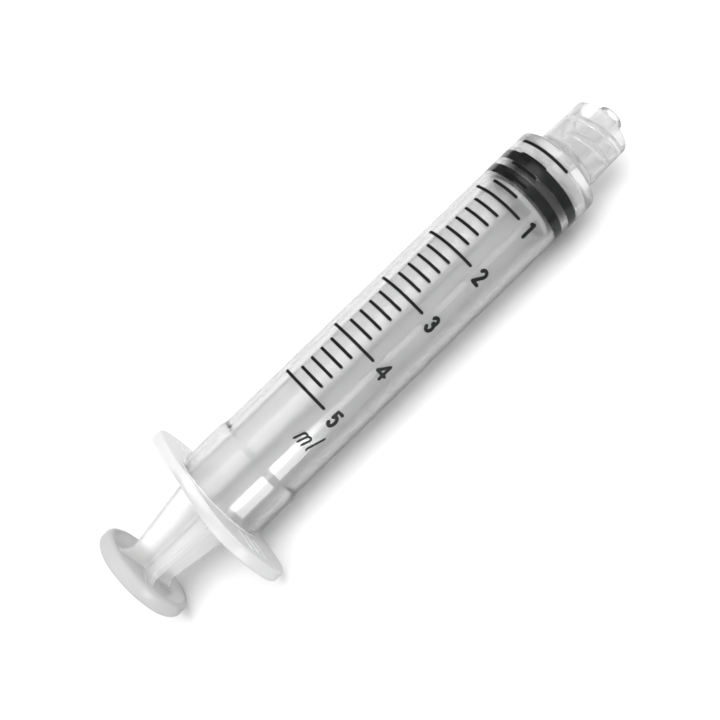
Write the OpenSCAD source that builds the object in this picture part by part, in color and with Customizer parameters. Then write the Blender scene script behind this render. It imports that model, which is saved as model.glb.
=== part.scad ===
// Luer-lock syringe lying on the flat of its finger flange.
// +X points to the tip, the flange's wings lie along Y, and +Z is up. Units are millimetres.
// Stations along the barrel are measured from the zero line, positive towards the tip.

/* [Barrel] */
// Bore of the barrel, which fixes how far apart the volume lines are
bore_d = 11.9; // [11.7:0.05:12.1]
// Wall thickness of the barrel beside the scale
barrel_wall = 0.95; // [0.8:0.05:1.2]
// Extra wall on the stiffer band next to the flange
band_extra = 0.3; // [0.2:0.05:0.5]
// Length of that stiffer band in front of the flange
band_len = 8; // [6:0.1:9]
// Distance from the zero line back to the rear face of the flange
barrel_rear = 65.4; // [64:0.1:68]
// Height of the bead inside the bore that keeps the plunger in
bead_h = 0.2; // [0.15:0.01:0.3]
// Volume at the last line of the scale, in millilitres
capacity_ml = 5; // [4:1:5]

/* [Finger flange] */
// Length of the flange from wing tip to wing tip
flange_len = 29.1; // [27:0.1:32]
// Width of the flange between its two flats
flange_w = 15.5; // [15.4:0.1:16.5]
// Thickness of the flange
flange_t = 1.7; // [1.4:0.1:2]
// Radius of the flange's four rounded corners
flange_corner_r = 6.8; // [5:0.1:7]
// Height of the grip ridges on the front of each wing
ridge_h = 0.15; // [0.1:0.05:0.4]
// Number of grip ridges on each wing
ridge_count = 3; // [2:1:4]

/* [Luer lock] */
// Outside diameter of the locking collar, halfway along it
collar_d = 9.5; // [9.2:0.1:9.8]
// How much narrower the collar is at its rim than at its root
collar_draft = 0.4; // [0:0.1:0.6]
// Distance from the zero line to the collar's front rim
collar_front = 10.5; // [10.3:0.1:11.5]
// Diameter of the collar's inner wall, at the root of its thread
thread_root_d = 8; // [7.9:0.05:8.1]
// Diameter across the crests of the thread
thread_crest_d = 7; // [6.9:0.05:7.2]
// Advance of each of the two thread starts in one turn
thread_lead = 5; // [4.8:0.1:5.2]
// Diameter of the male cone at its tip
cone_tip_d = 3.96; // [3.93:0.01:4.03]
// How far the cone stands out of the collar
cone_proud = 2.1; // [2.1:0.1:2.6]
// Diameter of the fluid bore through the cone
fluid_d = 2.1; // [1.8:0.1:2.4]

/* [Stopper] */
// Gap between the zero line and the stopper's front sealing edge at rest
stopper_back = 1.5; // [1.5:0.1:3]
// Diameter over the stopper's two sealing ribs
stopper_d = 11.84; // [11.6:0.02:11.88]
// Diameter of the groove between the sealing ribs
groove_d = 10.4; // [9.6:0.1:10.6]
// Length of the stopper from its front sealing edge to its rear face
stopper_len = 4.4; // [4.2:0.1:5]
// Height of the stopper's conical nose
nose_h = 1.5; // [1:0.1:1.5]

/* [Plunger rod] */
// Width across opposite ribs of the rod inside the barrel
rod_w = 10.8; // [10.4:0.1:11]
// Width across the ribs where they meet the thumb rest's fillet
rod_end_w = 7.4; // [6:0.1:8]
// Thickness of each rib
rib_t = 1.1; // [0.9:0.1:1.4]
// Turn of one rib from the top, towards -Y, in degrees
rod_turn = 71; // [0:1:90]
// Diameter of the thumb rest
thumb_d = 15; // [14:0.1:15.4]
// Thickness of the thumb rest at its rim
thumb_t = 2.4; // [1.6:0.1:2.8]
// Distance from the zero line back to the thumb rest's rear face
rod_rear = 79.4; // [78:0.1:82]

/* [Printed scale] */
// Width of each printed line
line_w = 0.45; // [0.3:0.05:0.5]
// Thickness of the ink
ink_t = 0.03; // [0.02:0.01:0.05]
// Turn from the top to the middle of the lines, towards -Y, in degrees
scale_turn = 21; // [0:1:40]
// Turn from the top to the middle of the numerals, towards -Y, in degrees
digit_turn = 73; // [60:1:80]
// Height of the numerals
digit_h = 2.7; // [2.4:0.1:3]
// Width of the numerals' strokes, as a share of their height
digit_stroke = 0.19; // [0.14:0.01:0.2]

/* [Hidden] */
$fn = 96;

bore_r = bore_d / 2;
barrel_r = bore_r + barrel_wall;
band_r = barrel_r + band_extra;
band_front = band_len + flange_t - barrel_rear;
ml_pitch = 1000 / (PI * bore_r * bore_r);
axis_z = flange_w / 2;
tip = collar_front + cone_proud;
zero_x = (rod_rear - tip) / 2;
collar_root_r = (collar_d + collar_draft / 2) / 2;
collar_rim_r = (collar_d - collar_draft / 2) / 2;
fluid_r = fluid_d / 2;

// Front of the barrel: the shoulder outside, the shallow end wall inside, and the luer cone
shoulder = 1.3;
shoulder_bevel = 0.45;
collar_root = 2.8;
end_wall_edge = 0.3;
end_wall_centre = 1.8;
recess_floor = 3.5;
cone_slope = 0.03;
cone_tip_r = cone_tip_d / 2;
cone_base_r = cone_tip_r + cone_slope * (tip - recess_floor);
rim_bevel = 0.3;

// Thread ridges inside the collar
thread_foot = 1;
thread_land = 0.35;
thread_embed = 0.15;
thread_start = recess_floor + 1.7;
thread_rise = collar_front - 0.6 - thread_start;
thread_step = 15;

// Rear of the barrel: the keeping bead in the bore and the flare at the mouth
bead_front = -56;
bead_ramp = 0.4;
bead_len = 1.2;
mouth_bevel = 0.4;
band_ramp = 1;

// Small round gate mark just in front of the band
gate_r = 0.42;
gate_depth = 0.12;
gate_station = band_front + 0.35;
gate_turn = -10.7;

// Flange outline: a circular end on each wing, and rounded corners that meet the flats
flange_a = flange_len / 2;
flange_b = flange_w / 2;
corner_x = flange_b - flange_corner_r;
corner_y = sqrt(pow(flange_a - flange_corner_r, 2) - pow(corner_x, 2));
corner_turn = atan2(corner_x, corner_y);
arc_step = 4;
ridge_w = 0.5;
ridge_pitch = 1.6;
ridge_in = 8.6;
ridge_out = 12.6;

// Stopper and the rod's head held in it
seal_r = stopper_d / 2;
groove_r = groove_d / 2;
seal_bevel = 0.2;
seal_len = 1.65;
nose_base_r = 5.2;
nose_tip_r = 1.2;
stopper_rear = -stopper_back - stopper_len;
neck_r = 2.3;
head_r = 3.3;
socket_gap = 0.06;
socket_floor = 1;
head_len = 1.9;

// Rod
plate_r = 5.35;
plate_t = 0.8;
plate_front = stopper_rear - 0.05;
plate_rear = plate_front - plate_t;
taper_start = -barrel_rear - 0.2;
thumb_front = thumb_t - rod_rear;
thumb_r = thumb_d / 2;
thumb_rim = thumb_t / 2;
thumb_fillet = 1.7;
thumb_dish = 0.35;
front_dish = 0.7;
front_dish_r = 5.6;
web_front = thumb_front - front_dish;

// Turns a profile of [radius, station] points about the barrel's axis.
module turned(profile) {
    rotate_extrude() polygon(profile);
}

// Puts local +Z on the barrel's axis, with its origin at the zero line.
// Local -X is then up, and a turn about local Z is a turn about the axis.
module on_axis() {
    translate([zero_x, 0, axis_z]) rotate([0, 90, 0]) children();
}

// Points of an arc about [cx, cy], from angle a0 to angle a1.
function arc(cx, cy, r, a0, a1) =
    let (steps = ceil(abs(a1 - a0) / arc_step))
    [for (i = [0:steps]) let (a = a0 + (a1 - a0) * i / steps) [cx + r * cos(a), cy + r * sin(a)]];

// Half of the flange's outline, from the +X side over the +Y wing to the -X side.
function wing_points() = concat(
    arc(corner_x, corner_y, flange_corner_r, 0, 90 - corner_turn),
    arc(0, 0, flange_a, 90 - corner_turn, 90 + corner_turn),
    arc(-corner_x, corner_y, flange_corner_r, 90 + corner_turn, 180)
);

module flange() {
    wing = wing_points();
    translate([0, 0, -barrel_rear]) linear_extrude(flange_t) difference() {
        polygon(concat(wing, -wing));
        circle(r = band_r - barrel_wall / 2);
    }
    for (side = [-1, 1], i = [0:ridge_count - 1]) {
        x = (i - (ridge_count - 1) / 2) * ridge_pitch;
        translate([x - ridge_w / 2, side > 0 ? ridge_in : -ridge_out, flange_t - barrel_rear])
            cube([ridge_w, ridge_out - ridge_in, ridge_h]);
    }
}

// One corner of a thread ridge's section, turned by a and advanced along the axis.
function thread_point(a, r, rise) =
    [r * cos(a), r * sin(a), thread_start + thread_lead * a / 360 + rise];

// A thread ridge of one start, swept along its helix with its foot sunk in the collar's wall.
module thread_ridge() {
    foot_r = thread_root_d / 2 + thread_embed;
    crest_r = thread_crest_d / 2;
    turns = floor(360 * thread_rise / thread_lead / thread_step);
    section = [
        [foot_r, -thread_foot / 2], [foot_r, thread_foot / 2],
        [crest_r, thread_land / 2], [crest_r, -thread_land / 2]
    ];
    points = [for (i = [0:turns], p = section) thread_point(i * thread_step, p[0], p[1])];
    sides = [
        for (i = [0:turns - 1], k = [0:3])
            [4 * i + k, 4 * i + (k + 1) % 4, 4 * i + 4 + (k + 1) % 4, 4 * i + 4 + k]
    ];
    polyhedron(points, concat(sides, [[3, 2, 1, 0]], [[for (k = [0:3]) 4 * turns + k]]));
}

// Wall of the barrel with its end wall, luer cone and collar, as one closed profile.
module barrel_wall_solid() {
    bead_r = bore_r - bead_h;
    turned([
        [bore_r + mouth_bevel, -barrel_rear],
        [band_r, -barrel_rear],
        [band_r, band_front - band_ramp],
        [barrel_r, band_front],
        [barrel_r, shoulder],
        [barrel_r - shoulder_bevel, shoulder + shoulder_bevel],
        [collar_root_r, collar_root],
        [collar_rim_r, collar_front - rim_bevel],
        [collar_rim_r - rim_bevel, collar_front],
        [thread_root_d / 2, collar_front],
        [thread_root_d / 2, recess_floor],
        [cone_base_r, recess_floor],
        [cone_tip_r + cone_slope * rim_bevel, tip - rim_bevel],
        [cone_tip_r - rim_bevel, tip],
        [fluid_r, tip],
        [fluid_r, end_wall_centre],
        [bore_r, end_wall_edge],
        [bore_r, bead_front],
        [bead_r, bead_front - bead_ramp],
        [bead_r, bead_front - bead_len + bead_ramp],
        [bore_r, bead_front - bead_len],
        [bore_r, mouth_bevel - barrel_rear]
    ]);
}

// Ball whose cut leaves the gate mark.
module gate_ball() {
    rotate(180 + gate_turn) translate([barrel_r + gate_r - gate_depth, 0, gate_station]) sphere(r = gate_r);
}

module barrel() {
    color([0.86, 0.88, 0.9, 0.45]) on_axis() {
        difference() {
            barrel_wall_solid();
            gate_ball();
        }
        flange();
        for (turn = [0, 180]) rotate(turn) thread_ridge();
    }
}

// A printed line across the scale, from one turn to another, measured from the top towards -Y.
module line_mark(station, from, to) {
    translate([0, 0, station - line_w / 2]) rotate(180 + from) rotate_extrude(angle = to - from)
        translate([barrel_r, 0]) square([ink_t, line_w]);
}

// Straight stroke of a numeral on its flat outline, from p to q, with square ends.
module stroke(p, q, w) {
    d = q - p;
    translate(p) rotate(atan2(d[1], d[0])) translate([-w / 2, -w / 2]) square([norm(d) + w, w]);
}

// Curved stroke of radius r about c, from angle a0 to angle a1.
module bend(c, r, a0, a1, w) {
    polygon(concat(
        [for (p = arc(0, 0, r + w / 2, a0, a1)) c + p],
        [for (p = arc(0, 0, r - w / 2, a1, a0)) c + p]
    ));
}

// Numerals one to five as strokes, upright in a box digit_h tall and centred on the origin.
module numeral(n) {
    h = digit_h;
    w = h * digit_stroke;
    top = (h - w) / 2;
    side = h * 0.2;
    if (n == 1) {
        stroke([0, -top], [0, top], w);
        stroke([-side, top * 0.55], [0, top], w);
    }
    if (n == 2) {
        bend([0, top - side], side, -35, 180, w);
        stroke([side * 0.82, top - side * 1.57], [-side, -top], w);
        stroke([-side, -top], [side, -top], w);
    }
    if (n == 3) {
        bend([0, top - side * 1.05], side * 1.05, -90, 160, w);
        bend([0, -top + side * 1.3], side * 1.3, -160, 90, w);
    }
    if (n == 4) {
        stroke([side * 0.5, -top], [side * 0.5, top], w);
        stroke([side * 0.5, top], [-side * 1.1, -top * 0.3], w);
        stroke([-side * 1.1, -top * 0.3], [side * 1.2, -top * 0.3], w);
    }
    if (n == 5) {
        stroke([side, top], [-side * 0.8, top], w);
        stroke([-side * 0.8, top], [-side * 0.8, top * 0.2], w);
        bend([-side * 0.1, -top + side * 1.35], side * 1.35, -150, 130, w);
    }
}

// The unit mark: three humps and a stem, drawn upright and leaning forwards.
module unit_mark() {
    h = digit_h * 0.55;
    w = digit_h * 0.15;
    lean = 0.35;
    multmatrix([[1, lean, 0, 0], [0, 1, 0, 0], [0, 0, 1, 0], [0, 0, 0, 1]]) {
        for (x = [0, h * 0.75, h * 1.5])
            translate([x - h * 1.5, -digit_h / 2]) stroke([0, w / 2], [0, h - w], w);
        for (x = [0, h * 0.75])
            translate([x - h * 1.5, -digit_h / 2]) bend([h * 0.375, h - w], h * 0.375, 0, 180, w);
        translate([h * 1.35, -digit_h / 2]) stroke([0, w / 2], [0, digit_h - w / 2], w);
    }
}

// Wraps a flat outline, reading towards -Y with its top to the tip, onto the barrel as ink.
module wrapped(station, turn) {
    reach = 2.6;
    intersection() {
        translate([0, 0, station]) rotate(180 + turn) rotate([90, 0, 90])
            linear_extrude(barrel_r + 1) children();
        translate([0, 0, station - reach]) linear_extrude(2 * reach) difference() {
            circle(r = barrel_r + ink_t);
            circle(r = barrel_r);
        }
    }
}

module printed_scale() {
    long_half = 36;
    short_half = 19;
    short_turn = scale_turn - 2;
    unit_gap = 4.1;
    color([0.05, 0.05, 0.05]) on_axis() {
        for (ml = [0:capacity_ml])
            line_mark(-ml * ml_pitch, scale_turn - long_half, scale_turn + long_half);
        for (ml = [0:capacity_ml - 1], part = [1:4])
            line_mark(-(ml + part / 5) * ml_pitch, short_turn - short_half, short_turn + short_half);
        for (ml = [1:capacity_ml]) wrapped(-ml * ml_pitch, digit_turn) numeral(ml);
        wrapped(-capacity_ml * ml_pitch - unit_gap, digit_turn) unit_mark();
    }
}

module stopper() {
    front = -stopper_back;
    socket_r = head_r + socket_gap;
    color([0.06, 0.06, 0.065]) on_axis() turned([
        [0, front + nose_h],
        [nose_tip_r, front + nose_h],
        [nose_base_r, front],
        [seal_r - seal_bevel, front],
        [seal_r, front - seal_bevel],
        [seal_r, front - seal_len + seal_bevel],
        [groove_r, front - seal_len],
        [groove_r, stopper_rear + seal_len],
        [seal_r, stopper_rear + seal_len - seal_bevel],
        [seal_r, stopper_rear + seal_bevel],
        [seal_r - seal_bevel, stopper_rear],
        [neck_r + socket_gap, stopper_rear],
        [neck_r + socket_gap, stopper_rear + socket_floor],
        [socket_r, stopper_rear + socket_floor],
        [socket_r, stopper_rear + socket_floor + head_len + 2 * socket_gap],
        [0, stopper_rear + socket_floor + head_len + 2 * socket_gap]
    ]);
}

// One of the two crossed plates of the rod, tapering and then flaring into the thumb rest.
module rib() {
    half = rod_w / 2;
    end_half = rod_end_w / 2;
    flare = arc(end_half + thumb_fillet, web_front + thumb_fillet, thumb_fillet, 180, 270);
    side = concat([[half, plate_rear + plate_t / 2], [half, taper_start]], flare);
    base = [[end_half + thumb_fillet, web_front - thumb_dish]];
    right = concat(side, base);
    left = [for (i = [len(right) - 1:-1:0]) [-right[i][0], right[i][1]]];
    rotate([90, 0, 0]) linear_extrude(rib_t, center = true) polygon(concat(right, left));
}

module rod_head() {
    head_rear = stopper_rear + socket_floor + socket_gap;
    turned([
        [0, head_rear + head_len],
        [head_r * 0.7, head_rear + head_len],
        [head_r, head_rear + head_len * 0.6],
        [head_r, head_rear],
        [neck_r, head_rear],
        [neck_r, plate_front],
        [plate_r, plate_front],
        [plate_r, plate_rear],
        [0, plate_rear]
    ]);
}

// The thumb rest: a full-round rim about a thinner web, dished in front and behind.
module thumb_rest() {
    rim_at = thumb_front - thumb_rim;
    rim = arc(thumb_r - thumb_rim, rim_at, thumb_rim, 90, -90);
    web_rear = thumb_dish - rod_rear;
    turned(concat(
        [[0, web_front], [front_dish_r, web_front]],
        rim,
        [[front_dish_r - thumb_rim, web_rear], [0, web_rear]]
    ));
}

module plunger_rod() {
    color([0.9, 0.91, 0.93, 0.6]) on_axis() rotate(180 + rod_turn) {
        rod_head();
        rib();
        rotate(90) rib();
        thumb_rest();
    }
}

barrel();
printed_scale();
stopper();
plunger_rod();
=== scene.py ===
import math

import bmesh
import bpy
from mathutils import Matrix, Vector


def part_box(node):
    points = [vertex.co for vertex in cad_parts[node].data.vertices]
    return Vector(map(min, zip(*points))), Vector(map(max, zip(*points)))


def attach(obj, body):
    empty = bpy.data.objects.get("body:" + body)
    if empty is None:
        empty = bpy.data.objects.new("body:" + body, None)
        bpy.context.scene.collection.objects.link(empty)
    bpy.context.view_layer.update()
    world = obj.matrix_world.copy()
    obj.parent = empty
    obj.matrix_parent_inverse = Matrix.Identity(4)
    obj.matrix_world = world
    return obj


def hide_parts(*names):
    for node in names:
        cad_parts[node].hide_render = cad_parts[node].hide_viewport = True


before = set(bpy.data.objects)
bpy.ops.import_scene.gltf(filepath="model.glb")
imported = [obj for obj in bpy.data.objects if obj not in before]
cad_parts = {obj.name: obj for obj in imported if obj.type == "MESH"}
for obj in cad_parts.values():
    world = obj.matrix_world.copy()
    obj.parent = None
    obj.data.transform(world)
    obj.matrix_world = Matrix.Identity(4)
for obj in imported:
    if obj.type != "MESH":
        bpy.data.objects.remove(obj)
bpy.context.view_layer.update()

# Shapes below are in millimetres. A station is a distance along the barrel from the zero line of
# the scale, positive towards the tip. A turn is an angle about the barrel's axis, from the top
# towards -Y. A profile or an outline is a list of corners, each with the radius of its fillet.
MM = 0.001
BARREL_LOW, BARREL_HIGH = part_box("barrel")
TIP = 12.6  # station of the luer cone's end
ZERO_X = BARREL_HIGH.x / MM - TIP
AXIS_Z = (BARREL_LOW.z + BARREL_HIGH.z) / 2 / MM
FULL_TURN = 2 * math.pi
ARC_STEP = math.radians(12)
SHARP = 35  # degrees between two faces above which their edge is shaded sharp

# Barrel
BORE_R = 5.95
BARREL_R = 6.9
SHOULDER = 1.6
END_WALL = 0.3
TIP_FROM = -1.2  # the thick front end, with its own material, starts here
BAND_R = 7.2
RAMP_FRONT, RAMP_REAR = -55.7, -56.7
BEAD_FRONT, BEAD_MIDDLE, BEAD_REAR = -55.5, -56.6, -57.7
BEAD_H = 0.1
MOUTH_R = 6.35
MOUTH_FROM = -65.0
BARREL_REAR = -65.4
FLANGE_FRONT = -63.7
FLANGE_A = (BARREL_HIGH.y - BARREL_LOW.y) / 2 / MM
FLANGE_B = (BARREL_HIGH.z - BARREL_LOW.z) / 2 / MM
FLANGE_CORNER = 6.8
FLANGE_EDGE = 0.35
FLANGE_ROOT = 0.18
RIDGE_PITCH = 1.6
RIDGE_HALF = 0.3
RIDGE_H = 0.15
RIDGE_ROOT = -0.2  # sunk into the flange
RIDGE_SLOPE = 0.15
RIDGE_FROM, RIDGE_TO = 8.6, 12.6
GATE_R = 1.2
GATE_OUT = 1.12
GATE_AT = -55.35
GATE_TURN = math.radians(-10.7)

# Luer lock
CONE_ROOT_R, CONE_END_R = 2.253, 1.98
FLUID_R = 1.05
FLUID_REAR = 1.8
COLLAR_ROOT = 2.8
COLLAR_ROOT_R = 4.85
COLLAR_RIM_R = 4.65
COLLAR_FRONT = 10.5
RECESS_FLOOR = 3.5
THREAD_ROOT = 4.0
THREAD_DEPTH = 0.5
THREAD_LEAD = 5.0
THREAD_FIRST = 5.2
THREAD_TURNS = 0.92
THREAD_FADE = 0.08  # share of a turn over which each end of a start fades out
THREAD_HALF = 0.5
THREAD_FLANK = 0.32
THREAD_STEPS = 64

# Stopper, whose seals reach a little into the wall so that the rubber looks wetted to the bore
STOPPER_FRONT = -1.5
STOPPER_REAR = -5.9
SEAL_R = BORE_R + 0.015
NOSE_END_R, NOSE_ROOT_R = 1.2, 5.15
GROOVE_R = 5.2
GROOVE_FRONT = -3.15
GROOVE_REAR = -4.25
SOCKET_FRONT = -2.88
SOCKET_LIP = 1.0
SNAP_GAP = 0.06

# Plunger rod
NECK_R = 2.3
HEAD_R = 3.3
HEAD_REAR = STOPPER_REAR + 1.06
HEAD_FRONT = HEAD_REAR + 1.9
PLATE_R = 5.35
PLATE_FRONT = -5.95
PLATE_REAR = -6.75
RIB_T = 1.1
RIB_HALF = 5.4
RIB_END_HALF = 3.7
RIB_FILLET = 0.45
RIB_ROOT = 0.35
RIB_EDGE = 0.3
ROD_TURN = math.radians(71)
TAPER_START = -65.6
THUMB_FRONT = -77.0
WEB_FRONT = -77.7
THUMB_REAR = -79.4
THUMB_R = 7.5
THUMB_FILLET = 1.7
THUMB_SKIN_R = 5.6  # outside this radius the thumb rest's material covers its front too
FRONT_DISH_R, FRONT_RIM_R = 4.8, 6.7
REAR_DISH_R, REAR_RIM_R = 4.6, 6.1
REAR_DISH = 0.35

# Printed scale, with its turns in degrees
CAPACITY = 5
ML_PITCH = 1000 / (math.pi * BORE_R ** 2)
INK_INNER = 6.903
INK_OUTER = 6.93
LINE_W = 0.45
SCALE_TURN = 21
LONG_HALF, SHORT_HALF = 36, 19
SHORT_SHIFT = -2
DIGIT_TURN = 73
DIGIT_H = 2.7
NUMERAL_W = 0.55
FOUR_W = 0.48
UNIT_W = 0.32
UNIT_LEAN = 0.35
UNIT_AT = -4.1  # behind the last line
WRAP_STEP = 0.3


def place(radius, station, turn):
    """The point at that radius, station and turn, in metres in the part's frame."""
    across = -radius * math.sin(turn)
    height = AXIS_Z + radius * math.cos(turn)
    return Vector(((station + ZERO_X) * MM, across * MM, height * MM))


def smooth(share):
    """A share from 0 to 1, eased at both ends."""
    share = min(1.0, max(0.0, share))
    return share * share * (3 - 2 * share)


def rounded(corners, closed):
    """An outline through corners given as (a, b, fillet radius), each filleted corner as an arc."""
    points = []
    for i, (a, b, fillet) in enumerate(corners):
        here = Vector((a, b))
        if fillet == 0 or (not closed and i in (0, len(corners) - 1)):
            points.append(here)
            continue
        back = (Vector(corners[i - 1][:2]) - here).normalized()
        ahead = (Vector(corners[(i + 1) % len(corners)][:2]) - here).normalized()
        half = back.angle(ahead) / 2
        centre = here + (back + ahead).normalized() * (fillet / math.sin(half))
        first = here + back * (fillet / math.tan(half)) - centre
        last = here + ahead * (fillet / math.tan(half)) - centre
        sweep = math.atan2(first.x * last.y - first.y * last.x, first.dot(last))
        steps = max(2, math.ceil(abs(sweep) / ARC_STEP))
        start = math.atan2(first.y, first.x)
        for k in range(steps + 1):
            angle = start + sweep * k / steps
            points.append(centre + Vector((math.cos(angle), math.sin(angle))) * fillet)
    return points


def shade_smooth(mesh):
    """Shades the mesh smooth, except across its sharp edges."""
    mesh.polygons.foreach_set("use_smooth", [True] * len(mesh.polygons))
    mesh.set_sharp_from_angle(angle=math.radians(SHARP))


def new_piece(name, bm):
    """A mesh object from bm, which is used up."""
    bmesh.ops.remove_doubles(bm, verts=bm.verts, dist=1e-7)
    bmesh.ops.recalc_face_normals(bm, faces=bm.faces)
    mesh = bpy.data.meshes.new(name)
    bm.to_mesh(mesh)
    bm.free()
    shade_smooth(mesh)
    piece = bpy.data.objects.new(name, mesh)
    bpy.context.scene.collection.objects.link(piece)
    return piece


def loft(name, rings, closed):
    """A skin over rings of points, where a ring of one point is a pole.

    A closed loft joins its last ring to its first, and an open one is capped at both ends.
    """
    bm = bmesh.new()
    made = [[bm.verts.new(p) for p in ring] for ring in rings]
    pairs = list(zip(made, made[1:]))
    if closed:
        pairs.append((made[-1], made[0]))
    for one, two in pairs:
        count = max(len(one), len(two))
        for k in range(count):
            after = (k + 1) % count
            near = [one[k % len(one)], one[after % len(one)]]
            far = [two[after % len(two)], two[k % len(two)]]
            bm.faces.new(list(dict.fromkeys(near + far)))
    if not closed:
        for ring in (made[0], made[-1]):
            if len(ring) > 1:
                bm.faces.new(ring)
    return new_piece(name, bm)


def lathe(name, profile, segments, closed=False, radius=None):
    """A turned piece from (radius, station) points. radius(r, station, turn) may reshape it."""
    turns = [FULL_TURN * k / segments for k in range(segments)]
    rings = []
    for r, station in profile:
        if r == 0:
            rings.append([place(0, station, 0)])
        else:
            rings.append([place(radius(r, station, t) if radius else r, station, t) for t in turns])
    return loft(name, rings, closed)


def apply_modifier(piece):
    """Makes what the piece's modifier shows its own mesh."""
    bpy.context.view_layer.update()
    shown = piece.evaluated_get(bpy.context.evaluated_depsgraph_get())
    mesh = bpy.data.meshes.new_from_object(shown)
    piece.modifiers.clear()
    piece.data = mesh


def combine(piece, tool, operation):
    """Joins tool to piece, or cuts it out of piece, and removes tool."""
    change = piece.modifiers.new("combine", "BOOLEAN")
    change.operation = operation
    change.solver = "EXACT"
    change.object = tool
    apply_modifier(piece)
    piece.data.name = piece.name
    bpy.data.objects.remove(tool)
    shade_smooth(piece.data)


def even_shading(piece):
    """Lets the large faces set the shading, so that flats stay flat up to their fillets."""
    weigh = piece.modifiers.new("weigh", "WEIGHTED_NORMAL")
    weigh.keep_sharp = True
    apply_modifier(piece)


# ---- Barrel ------------------------------------------------------------------------------------

def flange_outline(turn):
    """Distance from the axis to the edge of the flange: flats, rounded corners, circular ends."""
    up, out = abs(math.cos(turn)), abs(math.sin(turn))
    corner_up = FLANGE_B - FLANGE_CORNER
    corner_out = math.sqrt((FLANGE_A - FLANGE_CORNER) ** 2 - corner_up ** 2)
    if up * corner_out <= out * corner_up:
        return FLANGE_A
    if up > 0 and FLANGE_B / up * out <= corner_out:
        return FLANGE_B / up
    along = corner_up * up + corner_out * out
    return along + math.sqrt(FLANGE_CORNER ** 2 - corner_up ** 2 - corner_out ** 2 + along ** 2)


def thread_height(station, turn):
    """How far the two thread starts stand in from the collar's inner wall."""
    height = 0
    for start in (0, 0.5):
        turns = (turn / FULL_TURN + 0.5 + start) % 1
        off = abs(station - THREAD_FIRST - THREAD_LEAD * turns)
        ends = smooth(min(turns, THREAD_TURNS - turns) / THREAD_FADE)
        flank = smooth((THREAD_HALF - off) / THREAD_FLANK)
        height = max(height, THREAD_DEPTH * ends * flank)
    return height


def barrel_radius(r, station, turn):
    """The barrel's rings are circles, but for the oval flange and the thread inside the collar."""
    if station < FLANGE_FRONT + FLANGE_ROOT and r > BAND_R + FLANGE_ROOT:
        root = BAND_R + FLANGE_ROOT
        edge = FLANGE_A - FLANGE_EDGE
        if r >= edge:
            return flange_outline(turn) - (FLANGE_A - r)
        return root + (r - root) / (edge - root) * (flange_outline(turn) - FLANGE_EDGE - root)
    if THREAD_ROOT - 0.01 < r < THREAD_ROOT + 0.01 and station > RECESS_FLOOR + 0.3:
        return r - thread_height(station, turn)
    return r


def barrel_profile():
    """The closed outline of the wall: outside, collar and its thread, inside, rear and rim.

    Each stretch drops its first and last corner, which only give its neighbours a direction.
    """
    outside = rounded([
        (FLANGE_A, FLANGE_FRONT, 0),
        (BAND_R, FLANGE_FRONT, FLANGE_ROOT),
        (BAND_R, RAMP_REAR, 0.9),
        (BARREL_R, RAMP_FRONT, 0.9),
        (BARREL_R, TIP_FROM, 0),
        (BARREL_R, SHOULDER, 0.5),
        (COLLAR_ROOT_R, COLLAR_ROOT, 0.3),
        (COLLAR_RIM_R, COLLAR_FRONT, 0.28),
        (THREAD_ROOT, COLLAR_FRONT, 0.12),
        (THREAD_ROOT, COLLAR_FRONT - 2, 0),
    ], closed=False)[1:-1]
    wall_front, wall_rear = COLLAR_FRONT - 0.2, RECESS_FLOOR + 0.4
    wall = []
    for k in range(THREAD_STEPS + 1):
        station = wall_front + (wall_rear - wall_front) * k / THREAD_STEPS
        wall.append(Vector((THREAD_ROOT, station)))
    inside = rounded([
        (THREAD_ROOT, RECESS_FLOOR + 1, 0),
        (THREAD_ROOT, RECESS_FLOOR, 0.3),
        (CONE_ROOT_R, RECESS_FLOOR, 0.25),
        (CONE_END_R, TIP, 0.3),
        (FLUID_R, TIP, 0.15),
        (FLUID_R, FLUID_REAR, 0.2),
        (BORE_R, END_WALL, 0.4),
        (BORE_R, TIP_FROM, 0),
        (BORE_R, BEAD_FRONT, 4.0),
        (BORE_R - BEAD_H, BEAD_MIDDLE, 4.0),
        (BORE_R, BEAD_REAR, 4.0),
        (BORE_R, MOUTH_FROM, 0.3),
        (MOUTH_R, BARREL_REAR, 0.2),
        (FLANGE_A, BARREL_REAR, 0),
    ], closed=False)[1:-1]
    rear = [Vector((BAND_R + FLANGE_ROOT + 0.005, BARREL_REAR))]  # the last round ring
    rim = rounded([
        (BAND_R, BARREL_REAR, 0),
        (FLANGE_A, BARREL_REAR, FLANGE_EDGE),
        (FLANGE_A, FLANGE_FRONT, FLANGE_EDGE),
        (BAND_R, FLANGE_FRONT, 0),
    ], closed=False)[1:-1]
    return outside + wall + inside + rear + rim


def grip_ridges():
    """Three rounded ridges along the front of each wing of the flange, with sloped ends."""
    section = rounded([
        (-RIDGE_HALF, RIDGE_ROOT, 0),
        (-RIDGE_HALF, RIDGE_H, 0.12),
        (RIDGE_HALF, RIDGE_H, 0.12),
        (RIDGE_HALF, RIDGE_ROOT, 0),
    ], closed=True)
    bm = bmesh.new()
    for side in (-1, 1):
        for height in (-RIDGE_PITCH, 0, RIDGE_PITCH):
            ends = []
            for reach, lean in ((RIDGE_FROM, RIDGE_SLOPE), (RIDGE_TO, -RIDGE_SLOPE)):
                ring = []
                for across, proud in section:
                    y = side * (reach + lean * max(0, proud))
                    x = (FLANGE_FRONT + proud + ZERO_X) * MM
                    ring.append(bm.verts.new((x, y * MM, (AXIS_Z + height + across) * MM)))
                ends.append(ring)
            count = len(section)
            for k in range(count):
                after = (k + 1) % count
                bm.faces.new([ends[0][k], ends[0][after], ends[1][after], ends[1][k]])
            for ring in ends:
                bm.faces.new(ring)
    return new_piece("ridges", bm)


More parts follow.
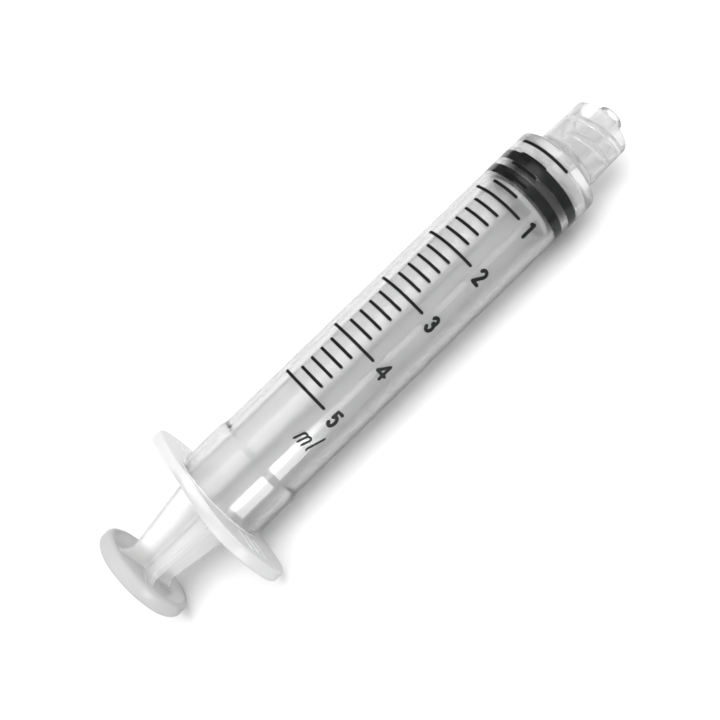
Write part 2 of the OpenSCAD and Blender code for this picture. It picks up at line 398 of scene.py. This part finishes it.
def gate_mark():
    """A ball whose cut leaves the small round gate mark on the ramp in front of the band."""
    bm = bmesh.new()
    bmesh.ops.create_uvsphere(bm, u_segments=64, v_segments=32, radius=GATE_R * MM)
    middle = place(BARREL_R + GATE_OUT, GATE_AT, GATE_TURN)
    bmesh.ops.translate(bm, verts=bm.verts, vec=middle)
    return new_piece("gate", bm)


def make_barrel():
    barrel = lathe("barrel_shell", barrel_profile(), 240, closed=True, radius=barrel_radius)
    combine(barrel, grip_ridges(), "UNION")
    combine(barrel, gate_mark(), "DIFFERENCE")
    even_shading(barrel)
    return barrel


# ---- Stopper -----------------------------------------------------------------------------------

def make_stopper():
    """A conical nose, two seals with a groove between, and the socket for the rod's head."""
    socket_r = HEAD_R + SNAP_GAP
    neck_r = NECK_R + SNAP_GAP
    profile = rounded([
        (0, 0, 0),
        (NOSE_END_R, 0, 0.5),
        (NOSE_ROOT_R, STOPPER_FRONT, 0.25),
        (SEAL_R, STOPPER_FRONT, 0.15),
        (SEAL_R, GROOVE_FRONT, 0.12),
        (GROOVE_R, GROOVE_FRONT - 0.1, 0.25),
        (GROOVE_R, GROOVE_REAR + 0.1, 0.25),
        (SEAL_R, GROOVE_REAR, 0.12),
        (SEAL_R, STOPPER_REAR, 0.15),
        (neck_r, STOPPER_REAR, 0.15),
        (neck_r, STOPPER_REAR + SOCKET_LIP, 0.1),
        (socket_r, STOPPER_REAR + SOCKET_LIP, 0.1),
        (socket_r, SOCKET_FRONT, 0.1),
        (0, SOCKET_FRONT, 0),
    ], closed=False)
    return lathe("rubber_stopper", profile, 160)


# ---- Plunger rod -------------------------------------------------------------------------------

def cross_section(half, thick):
    """Outline of two crossed plates with rounded edges, and fillets where they meet."""
    quarter = []
    steps = 4
    for side, start in ((RIB_EDGE - thick / 2, -90), (thick / 2 - RIB_EDGE, 0)):
        for k in range(steps + 1):
            angle = math.radians(start + 90 * k / steps)
            u = half - RIB_EDGE + RIB_EDGE * math.cos(angle)
            quarter.append((u, side + RIB_EDGE * math.sin(angle)))
    middle = thick / 2 + RIB_ROOT
    for k in range(steps + 1):
        angle = math.radians(270 - 90 * k / steps)
        u = middle + RIB_ROOT * math.cos(angle)
        quarter.append((u, middle + RIB_ROOT * math.sin(angle)))
    points = []
    for k in range(4):
        turned = Matrix.Rotation(k * math.pi / 2, 2)
        points += [turned @ Vector(p) for p in quarter]
    return points


def rib_half(station):
    """Half-width of the ribs: full inside the barrel, tapering, then flaring to the thumb rest."""
    flare_start = WEB_FRONT + THUMB_FILLET
    share = (TAPER_START - station) / (TAPER_START - flare_start)
    half = RIB_HALF + (RIB_END_HALF - RIB_HALF) * min(1, max(0, share))
    into = min(THUMB_FILLET, max(0, flare_start - station))
    return half + THUMB_FILLET - math.sqrt(THUMB_FILLET ** 2 - into ** 2)


def rib_thick(station):
    """Thickness of the ribs, which swell in small fillets at the plate and the thumb rest."""
    away = min(station - WEB_FRONT, PLATE_REAR - station)
    into = min(RIB_FILLET * 0.99, max(0, RIB_FILLET - away))
    return RIB_T + 2 * (RIB_FILLET - math.sqrt(RIB_FILLET ** 2 - into ** 2))


def make_ribs():
    """The cross of ribs, whose ends run into the plate and the thumb rest that it is joined to."""
    flare_start = WEB_FRONT + THUMB_FILLET
    stations = [PLATE_REAR + 0.4, PLATE_REAR, WEB_FRONT, WEB_FRONT - 0.6]
    for k in range(1, 6):
        stations.append(PLATE_REAR - RIB_FILLET * k / 5)
        stations.append(WEB_FRONT + RIB_FILLET * k / 5)
    for k in range(11):
        stations.append(TAPER_START + (flare_start - TAPER_START) * k / 10)
    for k in range(1, 12):
        stations.append(WEB_FRONT + THUMB_FILLET * (1 - math.sin(math.pi / 2 * k / 12)))
    rings = []
    for station in sorted(set(stations), reverse=True):
        ring = []
        for u, v in cross_section(rib_half(station), rib_thick(station)):
            ring.append(place(math.hypot(u, v), station, math.atan2(v, u) + ROD_TURN))
        rings.append(ring)
    return loft("plunger_rod_ribbed", rings, closed=False)


def rod_front():
    """The plate behind the stopper, and the headed neck that the stopper snaps over."""
    profile = rounded([
        (0, HEAD_FRONT, 0),
        (HEAD_R * 0.7, HEAD_FRONT, 0.2),
        (HEAD_R, HEAD_REAR + 1.14, 0.3),
        (HEAD_R, HEAD_REAR, 0.15),
        (NECK_R, HEAD_REAR, 0.1),
        (NECK_R, PLATE_FRONT, 0.1),
        (PLATE_R, PLATE_FRONT, 0.2),
        (PLATE_R, PLATE_REAR, 0.25),
        (0, PLATE_REAR, 0),
    ], closed=False)
    return lathe("rod_front", profile, 120)


def thumb_rest():
    """The round thumb rest: a full-round rim about a thinner web, dished in front and behind."""
    profile = rounded([
        (0, WEB_FRONT, 0),
        (FRONT_DISH_R, WEB_FRONT, 2.0),
        (FRONT_RIM_R, THUMB_FRONT, 0.4),
        (THUMB_R, THUMB_FRONT, 0.6),
        (THUMB_R, THUMB_REAR, 1.1),
        (REAR_RIM_R, THUMB_REAR, 0.4),
        (REAR_DISH_R, THUMB_REAR + REAR_DISH, 2.0),
        (0, THUMB_REAR + REAR_DISH, 0),
    ], closed=False)
    return lathe("thumb_rest", profile, 160)


def make_rod():
    rod = make_ribs()
    combine(rod, rod_front(), "UNION")
    combine(rod, thumb_rest(), "UNION")
    even_shading(rod)
    return rod


# ---- Printed scale -----------------------------------------------------------------------------

def stadium(p, q, width):
    """Outline of a straight stroke from p to q with round ends."""
    p, q = Vector(p), Vector(q)
    direction = math.atan2(q.y - p.y, q.x - p.x)
    points = []
    for centre, turn in ((q, -90), (p, 90)):
        for k in range(9):
            angle = direction + math.radians(turn + 180 * k / 8)
            points.append(centre + Vector((math.cos(angle), math.sin(angle))) * width / 2)
    return points


def ribbon(path, width):
    """Outline of a stroke of even width along a path of points, with round ends."""
    path = [Vector(p) for p in path]
    left, right = [], []
    for i, p in enumerate(path):
        along = (path[min(i + 1, len(path) - 1)] - path[max(i - 1, 0)]).normalized()
        side = Vector((-along.y, along.x)) * width / 2
        left.append(p + side)
        right.append(p - side)
    ends = []
    for tip, before in ((path[-1], path[-2]), (path[0], path[1])):
        facing = math.atan2(tip.y - before.y, tip.x - before.x)
        end = []
        for k in range(1, 6):
            angle = facing + math.radians(-90 + 30 * k)
            end.append(tip + Vector((math.cos(angle), math.sin(angle))) * width / 2)
        ends.append(end)
    return right + ends[0] + left[::-1] + ends[1]


def bow(centre, rx, ry, first, last, steps=14):
    """Points along an arc of an ellipse, between two angles in degrees."""
    points = []
    for k in range(steps + 1):
        angle = math.radians(first + (last - first) * k / steps)
        points.append((centre[0] + rx * math.cos(angle), centre[1] + ry * math.sin(angle)))
    return points


def slab(name, outline):
    """A flat slab over the outline, from height 0 to 1, to be wrapped on the barrel later."""
    bm = bmesh.new()
    low = [bm.verts.new((x, y, 0)) for x, y in outline]
    high = [bm.verts.new((x, y, 1)) for x, y in outline]
    count = len(outline)
    bm.faces.new(low[::-1])
    bm.faces.new(high)
    for k in range(count):
        after = (k + 1) % count
        bm.faces.new([low[k], low[after], high[after], high[k]])
    return new_piece(name, bm)


def wrap(piece, station, turn):
    """Bends a slab onto the barrel. Its x runs round towards -Y, and its y towards the tip."""
    bm = bmesh.new()
    bm.from_mesh(piece.data)
    reach = max(abs(v.co.x) for v in bm.verts)
    cuts = math.ceil(reach / WRAP_STEP)
    for k in range(-cuts, cuts + 1):
        bmesh.ops.bisect_plane(
            bm,
            geom=bm.verts[:] + bm.edges[:] + bm.faces[:],
            plane_co=(k * WRAP_STEP, 0, 0),
            plane_no=(1, 0, 0),
            dist=1e-5,
        )
    for v in bm.verts:
        radius = INK_INNER + (INK_OUTER - INK_INNER) * v.co.z
        v.co = place(radius, station + v.co.y, turn + v.co.x / BARREL_R)
    bm.to_mesh(piece.data)
    bm.free()


def numeral_strokes(n):
    """Strokes of a numeral, upright in a box DIGIT_H tall, centred on the origin."""
    top = (DIGIT_H - NUMERAL_W) / 2
    if n == 1:
        return [[(0.12, -top), (0.12, top)], [(-0.28, top - 0.18), (0.12, top)]]
    if n == 2:
        over = bow((0, top - 0.5), 0.48, 0.5, 165, -25)
        return [over + [(-0.46, -top)], [(-0.46, -top), (0.5, -top)]]
    if n == 3:
        upper = bow((0, top - 0.52), 0.42, 0.52, 160, -80)
        lower = bow((0, -top + 0.66), 0.48, 0.66, 85, -155)
        return [upper, lower]
    if n == 4:
        foot, peak, left, right = (0.3, -top), (0.3, top), (-0.8, -0.4), (0.7, -0.4)
        return [[foot, peak], [peak, left], [left, right]]
    left = -0.36
    return [
        [(0.42, top), (left, top), (left, 0.15)],
        bow((-0.02, -top + 0.72), 0.46, 0.72, 140, -145),
    ]


def unit_strokes():
    """Strokes of the unit mark, still upright."""
    foot = -DIGIT_H / 2
    strokes = []
    for x in (-1.65, -0.95):
        hump = bow((x + 0.35, foot + 1.15), 0.35, 0.4, 180, 0, steps=8)
        strokes.append([(x, foot)] + hump + [(x + 0.7, foot)])
    strokes.append([(-1.65, foot + 1.5), (-1.65, foot)])
    strokes.append([(0.65, foot + DIGIT_H), (0.65, foot + 0.2), (0.85, foot)])
    return strokes


def inked(name, outlines, station, turn):
    """One printed mark: its strokes joined into one slab and wrapped on the barrel."""
    piece = slab(name, outlines[0])
    for outline in outlines[1:]:
        combine(piece, slab("stroke", outline), "UNION")
    wrap(piece, station, turn)
    return piece


def make_scale():
    """A line every fifth of a millilitre, longer and numbered every whole one, and the unit."""
    marks = []
    for fifth in range(5 * CAPACITY + 1):
        whole = fifth % 5 == 0
        half = math.radians(LONG_HALF if whole else SHORT_HALF)
        middle = math.radians(SCALE_TURN if whole else SCALE_TURN + SHORT_SHIFT)
        reach = half * BARREL_R - LINE_W / 2
        line = stadium((-reach, 0), (reach, 0), LINE_W)
        marks.append(inked("line", [line], -fifth / 5 * ML_PITCH, middle))
    digit_turn = math.radians(DIGIT_TURN)
    for ml in range(1, CAPACITY + 1):
        strokes = [ribbon(path, FOUR_W if ml == 4 else NUMERAL_W) for path in numeral_strokes(ml)]
        marks.append(inked("numeral", strokes, -ml * ML_PITCH, digit_turn))
    strokes = []
    for path in unit_strokes():
        strokes.append(ribbon([(x + UNIT_LEAN * y, y) for x, y in path], UNIT_W))
    marks.append(inked("unit", strokes, -CAPACITY * ML_PITCH + UNIT_AT, digit_turn))

    bm = bmesh.new()
    for mark in marks:
        bm.from_mesh(mark.data)
        bpy.data.objects.remove(mark)
    return new_piece("volume_scale_print", bm)


# ---- Materials ---------------------------------------------------------------------------------

def new_material(name, **sockets):
    """A material and its Principled shader, with those socket values, given with _ for a space."""
    material = bpy.data.materials.new(name)
    material.use_nodes = True
    shader = material.node_tree.nodes["Principled BSDF"]
    for socket, value in sockets.items():
        shader.inputs[socket.replace("_", " ")].default_value = value
    return material, shader


def noise(material, scale, detail=3.0, stretch=(1, 1, 1)):
    """Noise in the part's own space: scale is how many times it repeats in a metre."""
    nodes, links = material.node_tree.nodes, material.node_tree.links
    where = nodes.new("ShaderNodeTexCoord")
    mapping = nodes.new("ShaderNodeMapping")
    mapping.inputs["Scale"].default_value = stretch
    links.new(where.outputs["Object"], mapping.inputs["Vector"])
    grain = nodes.new("ShaderNodeTexNoise")
    grain.inputs["Scale"].default_value = scale
    grain.inputs["Detail"].default_value = detail
    links.new(mapping.outputs["Vector"], grain.inputs["Vector"])
    return grain.outputs["Fac"]


def spread(material, value, low, high):
    """Maps a 0 to 1 value onto low to high."""
    node = material.node_tree.nodes.new("ShaderNodeMapRange")
    node.inputs["To Min"].default_value = low
    node.inputs["To Max"].default_value = high
    material.node_tree.links.new(value, node.inputs["Value"])
    return node.outputs["Result"]


def add_bump(material, shader, height, depth, strength):
    """Bump of that depth in millimetres from a 0 to 1 height."""
    nodes, links = material.node_tree.nodes, material.node_tree.links
    bump = nodes.new("ShaderNodeBump")
    bump.inputs["Distance"].default_value = depth * MM
    bump.inputs["Strength"].default_value = strength
    links.new(height, bump.inputs["Height"])
    links.new(bump.outputs["Normal"], shader.inputs["Normal"])


def turned_lines(material, pitch):
    """Lines across the part's axis, that many millimetres apart, as a 0 to 1 height."""
    nodes, links = material.node_tree.nodes, material.node_tree.links
    where = nodes.new("ShaderNodeTexCoord")
    lines = nodes.new("ShaderNodeTexWave")
    lines.bands_direction = "X"
    lines.inputs["Scale"].default_value = FULL_TURN / (20 * pitch * MM)
    links.new(where.outputs["Object"], lines.inputs["Vector"])
    return lines.outputs["Fac"]


def mottle(material, shader, scale, dark, light):
    """Two near blacks, a little blue, that change over from one to the other as noise does."""
    nodes, links = material.node_tree.nodes, material.node_tree.links
    mix = nodes.new("ShaderNodeMix")
    mix.data_type = "RGBA"
    mix.inputs["A"].default_value = (dark, dark, dark + 0.001, 1)
    mix.inputs["B"].default_value = (light, light, light + 0.001, 1)
    links.new(noise(material, scale, 4.0), mix.inputs["Factor"])
    links.new(mix.outputs["Result"], shader.inputs["Base Color"])


def clear_plastic(name, tint, clear, rough, mirror=0.1, gloss=0.0, grooves=0.0):
    """Moulded polypropylene whose roughness wanders within rough, given as (low, high).

    It has soft flow marks, or where grooves isn't 0 turned lines that many millimetres apart.
    """
    material, shader = new_material(
        name,
        Base_Color=(tint, tint, tint, 1),
        Transmission_Weight=clear,
        IOR=1.49,
        Specular_IOR_Level=mirror,
        Coat_Weight=gloss,
        Coat_Roughness=0.14,
    )
    links = material.node_tree.links
    links.new(spread(material, noise(material, 300), *rough), shader.inputs["Roughness"])
    if grooves:
        height = turned_lines(material, grooves)
        add_bump(material, shader, height, depth=0.03, strength=0.25)
    else:
        height = noise(material, 120, 2.0, stretch=(0.35, 1, 1))
        add_bump(material, shader, height, depth=0.05, strength=0.006)
    return material


def rubber(name):
    """Black rubber with a fine grain."""
    material, shader = new_material(name, Specular_IOR_Level=0.2)
    mottle(material, shader, 900, dark=0.006, light=0.016)
    links = material.node_tree.links
    links.new(spread(material, noise(material, 1500), 0.32, 0.5), shader.inputs["Roughness"])
    add_bump(material, shader, noise(material, 6000, 2.0), depth=0.02, strength=0.4)
    return material


def ink(name):
    """Black printing ink, laid on a little unevenly."""
    material, shader = new_material(name, Roughness=0.5, Specular_IOR_Level=0.3)
    mottle(material, shader, 2500, dark=0.002, light=0.016)
    return material


def finish_piece(piece, body, node, slot, *materials, pick=None):
    """Puts a piece on its body. pick(radius, station) numbers the material of a face there."""
    piece.data.materials.clear()
    for material in materials:
        piece.data.materials.append(material)
    for face in piece.data.polygons:
        radius = math.hypot(face.center.y / MM, face.center.z / MM - AXIS_Z)
        face.material_index = pick(radius, face.center.x / MM - ZERO_X) if pick else 0
    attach(piece, body)
    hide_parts(node)


def barrel_material(radius, station):
    """The wall is 0, the finger flange 1, and the thick front end with the luer parts 2."""
    if radius > BAND_R + 0.02:
        return 1
    return 2 if station > TIP_FROM else 0


def rod_material(radius, station):
    """The ribs are 0. The thumb rest is 1, whose rim stands further forward than its web."""
    on_rim = station < THUMB_FRONT + 0.1 and radius > THUMB_SKIN_R
    return 1 if on_rim or station < WEB_FRONT + 0.2 else 0


# ---- Camera, floor and light -------------------------------------------------------------------

def make_camera():
    """A camera that looks down on the barrel, rolled so that the tip points up to the right."""
    aim = place(0, -36.8, 0) + Vector((0, 0, 0.2)) * MM
    azimuth, elevation = math.radians(-3.95), math.radians(43.86)
    roll = math.radians(-41.48)
    distance = 127.15 * MM
    back = Vector((
        math.sin(azimuth) * math.cos(elevation),
        -math.cos(azimuth) * math.cos(elevation),
        math.sin(elevation),
    ))
    level = Vector((math.cos(azimuth), math.sin(azimuth), 0))
    up = back.cross(level)
    right = level * math.cos(roll) + up * math.sin(roll)
    data = bpy.data.cameras.new("camera")
    data.lens = 46.0
    data.sensor_width = 36.0
    data.clip_start = 0.005
    camera = bpy.data.objects.new("camera", data)
    bpy.context.scene.collection.objects.link(camera)
    axes = Matrix((right, back.cross(right), back)).transposed()
    camera.matrix_world = Matrix.Translation(aim + back * distance) @ axes.to_4x4()
    bpy.context.scene.camera = camera


def make_floor():
    """A wide pale floor, which isn't mirrored in the syringe."""
    bm = bmesh.new()
    bmesh.ops.create_grid(bm, x_segments=8, y_segments=8, size=1.5)
    floor = new_piece("floor", bm)
    material, shader = new_material("pale_floor", Roughness=0.7, Specular_IOR_Level=0.1)
    shader.inputs["Base Color"].default_value = (0.85, 0.85, 0.85, 1)
    floor.data.materials.append(material)
    floor.visible_glossy = False


def area_light(name, at, size, power, mirrored):
    """A soft box facing the syringe. A mirrored one makes only highlights, any other makes none."""
    data = bpy.data.lights.new(name, "AREA")
    data.shape = "RECTANGLE"
    data.size, data.size_y = size
    data.energy = power
    light = bpy.data.objects.new(name, data)
    bpy.context.scene.collection.objects.link(light)
    light.location = at
    facing = Vector((0, 0, 0.008)) - Vector(at)
    light.rotation_euler = facing.to_track_quat("-Z", "Y").to_euler()
    light.visible_glossy = mirrored
    light.visible_diffuse = not mirrored
    light.visible_transmission = not mirrored


def make_world():
    """An even pale studio, which lights the plastic but isn't mirrored in it."""
    world = bpy.data.worlds.new("world")
    world.use_nodes = True
    background = world.node_tree.nodes["Background"]
    background.inputs["Color"].default_value = (1, 1, 1, 1)
    background.inputs["Strength"].default_value = 1.12
    bpy.context.scene.world = world
    world.cycles_visibility.glossy = False


def make_light():
    """One soft light overhead, and a strip and two cards for the highlights."""
    bpy.context.scene.view_settings.view_transform = "Standard"
    make_world()
    area_light("overhead", (0, -0.12, 0.5), size=(0.35, 0.35), power=1.5, mirrored=False)
    area_light("strip", (-0.08, -0.3, -0.02), size=(0.11, 0.22), power=1.4, mirrored=True)
    area_light("far_card", (0, 0.45, -0.12), size=(0.9, 0.46), power=1.2, mirrored=True)
    area_light("near_card", (0, 0.05, -0.3), size=(0.9, 0.9), power=0.9, mirrored=True)


# ---- The scene ---------------------------------------------------------------------------------

make_camera()
make_floor()
make_light()

finish_piece(
    make_barrel(), "barrel", "barrel", "clear_barrel",
    clear_plastic("clear_polypropylene", tint=0.99, clear=1.0, rough=(0.18, 0.22), gloss=0.4),
    clear_plastic("frosted_flange", tint=0.95, clear=0.55, rough=(0.3, 0.42), mirror=0.2),
    clear_plastic(
        "frosted_tip", tint=0.88, clear=0.8, rough=(0.12, 0.18), mirror=0.2, gloss=0.5,
    ),
    pick=barrel_material,
)
finish_piece(make_scale(), "barrel", "printed_scale", "scale_ink", ink("black_ink"))
finish_piece(make_stopper(), "stopper", "stopper", "stopper_rubber", rubber("black_rubber"))
finish_piece(
    make_rod(), "plunger_rod", "plunger_rod", "rod_plastic",
    clear_plastic(
        "natural_polypropylene", tint=0.89, clear=0.6, rough=(0.15, 0.22), mirror=0.06,
    ),
    clear_plastic(
        "frosted_thumb_rest", tint=0.71, clear=0.5, rough=(0.3, 0.42), mirror=0.2, grooves=0.4,
    ),
    pick=rod_material,
)
